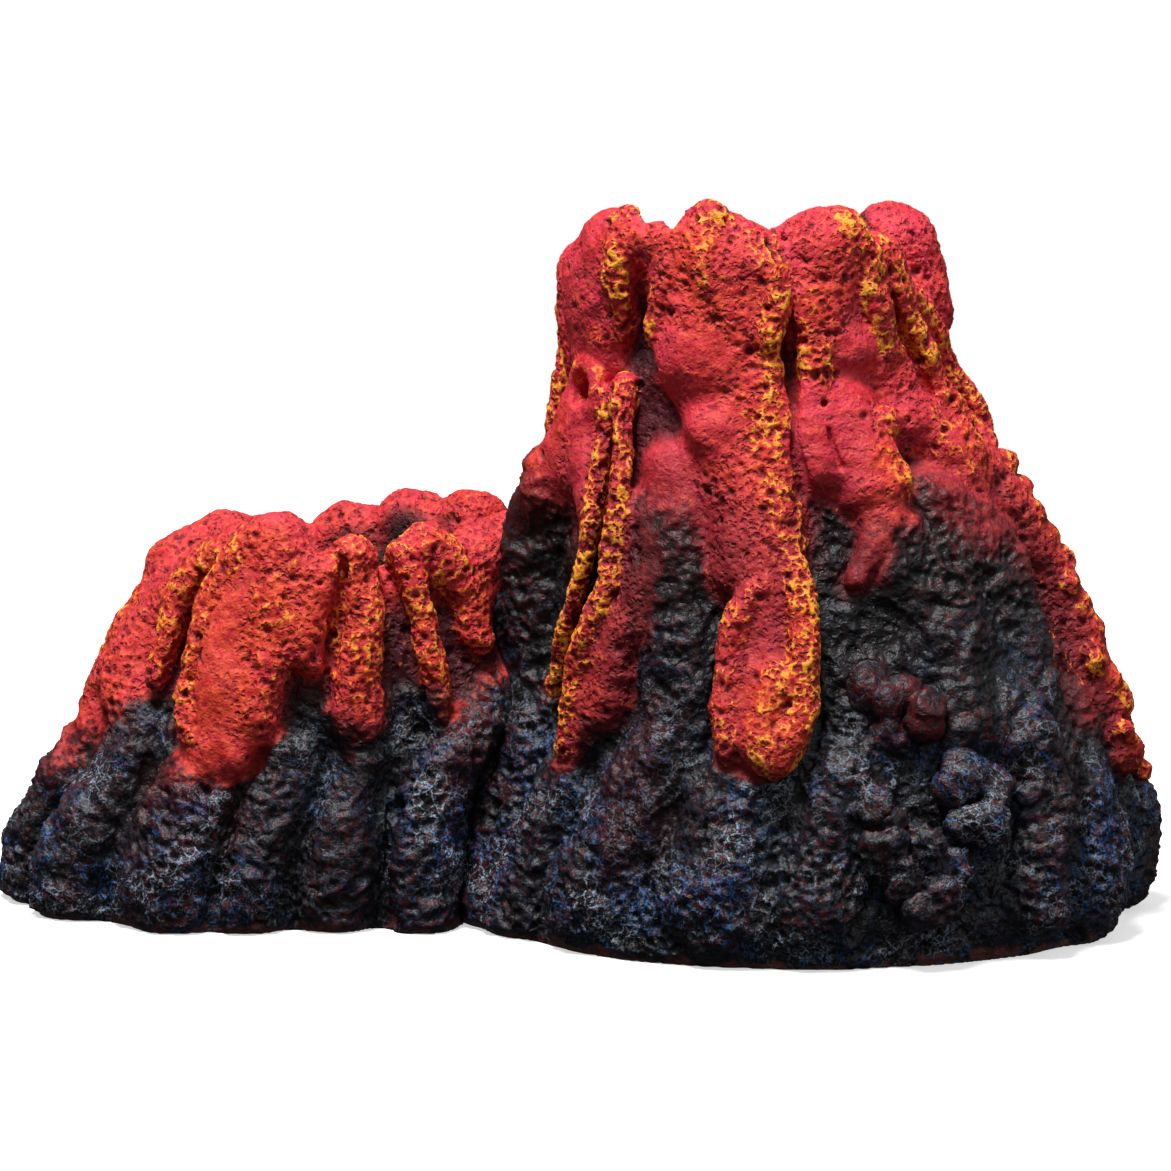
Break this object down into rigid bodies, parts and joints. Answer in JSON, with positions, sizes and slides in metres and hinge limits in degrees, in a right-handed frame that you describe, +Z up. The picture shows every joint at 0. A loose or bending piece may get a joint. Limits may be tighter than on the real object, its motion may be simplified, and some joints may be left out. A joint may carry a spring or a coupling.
{
  "type": "bubbling volcano ornament",
  "caption": "Hollow volcano ornament with a tall and a low crater; it lifts off an air plate on suction cups with an air stone under each mouth, fed through a swivelling hose inlet.",
  "frame": {"origin": "middle of the whole ornament's footprint, on the ground", "axes": "+X to the tall cone's side along the ornament's length, -Y to the front that is looked at, +Z up"},
  "size_m": [0.2102, 0.1204, 0.1307],
  "materials": {
    "painted_resin": "matte hand-painted cast resin: red and yellow lava over charcoal rock with blue dry-brushing",
    "plate_plastic": "moulded, fine matte",
    "cup_rubber": "soft satin",
    "seal_rubber": "satin",
    "fitting_plastic": "moulded satin gloss",
    "clip_plastic": "moulded matte",
    "airline": "translucent silicone hose",
    "air_stone": "sintered grit, open pores"
  },
  "bodies": {
    "air_unit": {"air_deck": "plate_plastic", "suction_cup_front": "cup_rubber", "suction_cup_right": "cup_rubber", "suction_cup_left": "cup_rubber", "suction_cup_low": "cup_rubber", "main_socket": "fitting_plastic", "low_socket": "fitting_plastic", "tee_connector": "fitting_plastic", "inlet_body": "fitting_plastic", "hose_clip_bridge": "clip_plastic", "hose_clip_low": "clip_plastic", "hose_clip_main": "clip_plastic", "inlet_hose": "airline", "branch_hose_main": "airline", "branch_hose_low": "airline"},
    "shell": {"main_cone": "painted_resin", "low_crater": "painted_resin"},
    "main_stone": {"main_air_stone": "air_stone", "main_stone_nipple": "fitting_plastic"},
    "low_stone": {"low_air_stone": "air_stone", "low_stone_nipple": "fitting_plastic"},
    "inlet": {"inlet_elbow": "fitting_plastic", "inlet_oring": "seal_rubber"}
  },
  "joints": [
    {"name": "shell_lift", "type": "slide", "parent": "air_unit", "child": "shell", "axis": [0, 0, 1], "range_m": [0, 0.05]},
    {"name": "main_stone_pull", "type": "slide", "parent": "air_unit", "child": "main_stone", "axis": [0, 0, 1], "range_m": [0, 0.012]},
    {"name": "low_stone_pull", "type": "slide", "parent": "air_unit", "child": "low_stone", "axis": [0, 0, 1], "range_m": [0, 0.012]},
    {"name": "inlet_swivel", "type": "hinge", "parent": "air_unit", "child": "inlet", "pos_m": [0.0101, 0.04533, 0.0114], "axis": [0, 1, 0], "range_deg": [-90, 90]}
  ]
}
